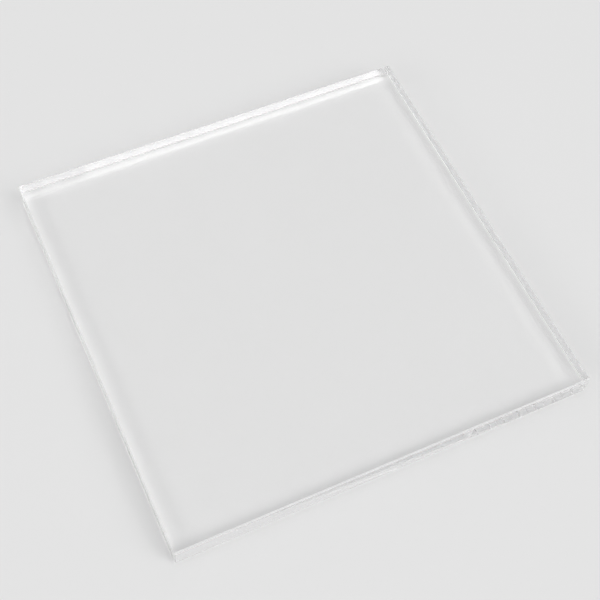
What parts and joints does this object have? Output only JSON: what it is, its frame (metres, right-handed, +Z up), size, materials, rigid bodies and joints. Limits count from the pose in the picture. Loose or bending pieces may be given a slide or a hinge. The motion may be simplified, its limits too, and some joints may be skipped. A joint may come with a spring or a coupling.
{
  "type": "clear acrylic sheet",
  "caption": "Square flat sheet of clear colourless acrylic with glossy faces and cut edges, raw stock for glazing, covers, signs and laser-cut or machined parts.",
  "frame": {"origin": "middle of the underside, which lies on the floor", "axes": "+X along the near edge from its left to its right corner, +Y from the near edge to the far edge, +Z up through the thickness"},
  "size_m": [0.1016, 0.1016, 0.0056],
  "materials": {
    "clear_acrylic": "clear and colourless, moulded gloss on both faces, cut edges left clear with their sharp arrises taken off"
  },
  "bodies": {
    "root": {"acrylic_sheet": "clear_acrylic"}
  },
  "joints": []
}
